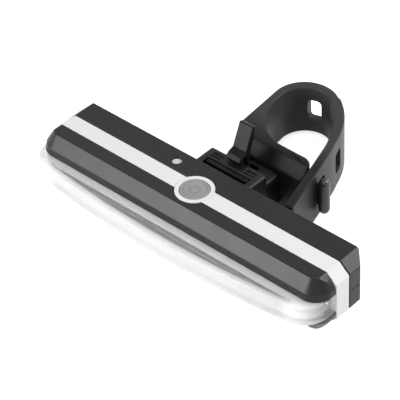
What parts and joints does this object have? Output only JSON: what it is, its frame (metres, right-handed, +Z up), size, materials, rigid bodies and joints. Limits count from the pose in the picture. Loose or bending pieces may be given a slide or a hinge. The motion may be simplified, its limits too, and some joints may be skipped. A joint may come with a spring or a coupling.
{
  "type": "bike tail light",
  "caption": "Bar-shaped bicycle tail light with a clear wrap-round lens, white centre band and push button, clipped to a rubber seat-post strap bracket with a release latch.",
  "frame": {"origin": "middle of the bar's flat underside, below the centre of the power button, under the white band", "axes": "+X along the bar, -Y out of the lens, +Y towards the clip and the strap loop, +Z up out of the button"},
  "size_m": [0.08, 0.0585, 0.0213],
  "materials": {
    "housing_black": "fine matte texture",
    "bezel_black": "satin",
    "band_white": "gloss",
    "lens_clear": "clear polished plastic",
    "seal_grey": "soft matte",
    "reflector_white": "gloss",
    "board_white": "solder mask",
    "cob_yellow": "silicone over the chips",
    "board_green": "solder mask",
    "switch_black": "satin",
    "plunger_grey": "satin",
    "socket_steel": "tin plated",
    "led_body": "gloss",
    "pipe_clear": "frosted top",
    "cell_wrap": "shrink wrap",
    "pad_grey": "foam",
    "wire_red": "wire insulation",
    "pin_brass": "plated",
    "screw_steel": "zinc plated",
    "receiver_black": "semi-gloss",
    "button_grey": "fine matte",
    "cover_rubber": "matte",
    "bracket_black": "satin",
    "latch_black": "satin",
    "hook_black": "satin",
    "strap_rubber": "matte rubber"
  },
  "bodies": {
    "bracket": {"bracket_body": "bracket_black", "strap_hook": "hook_black", "rubber_strap": "strap_rubber"},
    "light": {"rear_housing": "housing_black", "centre_band": "band_white", "front_bezel": "bezel_black", "lens": "lens_clear", "lens_seal": "seal_grey", "reflector": "reflector_white", "led_board": "board_white", "cob_strip": "cob_yellow", "main_pcb": "board_green", "tact_switch": "switch_black", "usb_port": "socket_steel", "charge_led": "led_body", "light_pipe": "pipe_clear", "battery": "cell_wrap", "battery_pad": "pad_grey", "battery_wires": "wire_red", "board_link": "pin_brass", "housing_screws": "screw_steel", "clip_receiver": "receiver_black"},
    "latch": {"release_latch": "latch_black"},
    "button": {"power_button": "button_grey"},
    "plunger": {"switch_plunger": "plunger_grey"},
    "cover": {"usb_cover": "cover_rubber"}
  },
  "joints": [
    {"name": "light_lift", "type": "slide", "parent": "bracket", "child": "light", "axis": [0, 0, 1], "range_m": [0, 0.015], "deforming": ["release_latch"]},
    {"name": "latch_flex", "type": "hinge", "parent": "bracket", "child": "latch", "pos_m": [0, 0.0149, 0.003], "axis": [-1, 0, 0], "range_deg": [0, 11], "stiffness_Nm_per_rad": 0.3},
    {"name": "button_press", "type": "slide", "parent": "light", "child": "button", "axis": [0, 0, -1], "range_m": [0, 0.0005], "stiffness_N_per_m": 800},
    {"name": "plunger_press", "type": "slide", "parent": "light", "child": "plunger", "axis": [0, 0, -1], "range_m": [0, 0.0005]},
    {"name": "cover_open", "type": "hinge", "parent": "light", "child": "cover", "pos_m": [-0.0395, 0.004, 0.0033], "axis": [0, -1, 0], "range_deg": [0, 90], "stiffness_Nm_per_rad": 0.002}
  ],
  "couplings": [
    {"joint": "plunger_press", "follows": "button_press", "ratio": 1}
  ]
}
